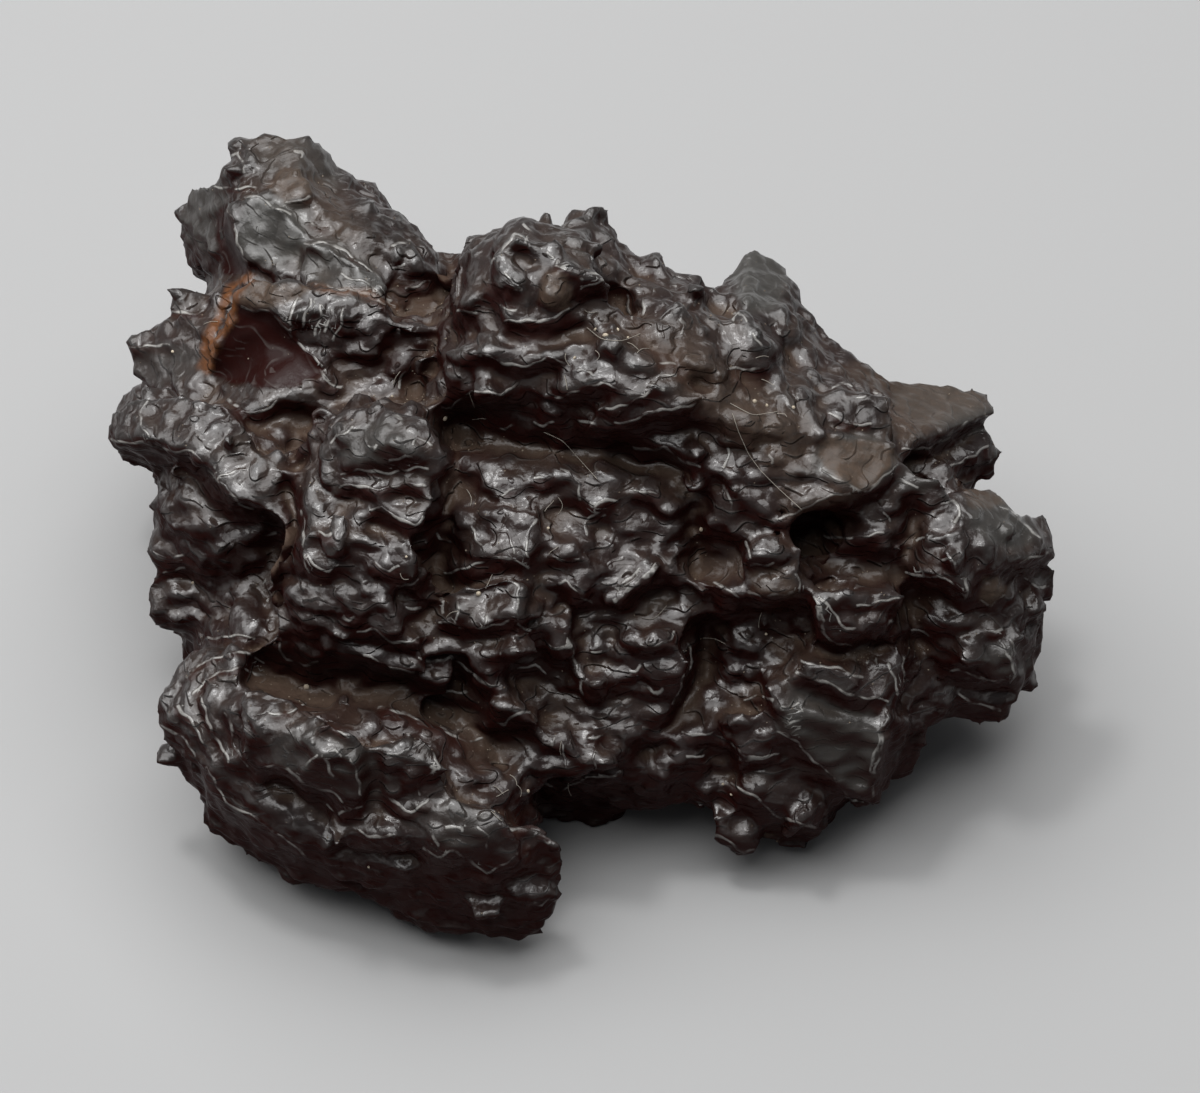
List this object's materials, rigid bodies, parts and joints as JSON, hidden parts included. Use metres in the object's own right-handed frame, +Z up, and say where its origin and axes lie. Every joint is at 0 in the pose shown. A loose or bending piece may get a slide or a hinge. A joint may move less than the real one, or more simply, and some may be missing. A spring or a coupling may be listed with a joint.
{
  "type": "prophecy stone",
  "caption": "Dark knobbly crystal cluster, a goethite and hematite stone with wrinkled flat-faced crystals, lying free on its lowest knobs.",
  "frame": {"origin": "middle of the stone's footprint box, on the surface that it lies on", "axes": "+X across the stone's longest way, +Y from the low front foot to the high back, +Z up"},
  "size_m": [0.0474, 0.0396, 0.0278],
  "materials": {
    "stone": "natural iron oxide, brown-black and half metallic, polished on ridges and knobs, dusty brown on top and in hollows"
  },
  "bodies": {
    "root": {"stone": "stone"}
  },
  "joints": []
}
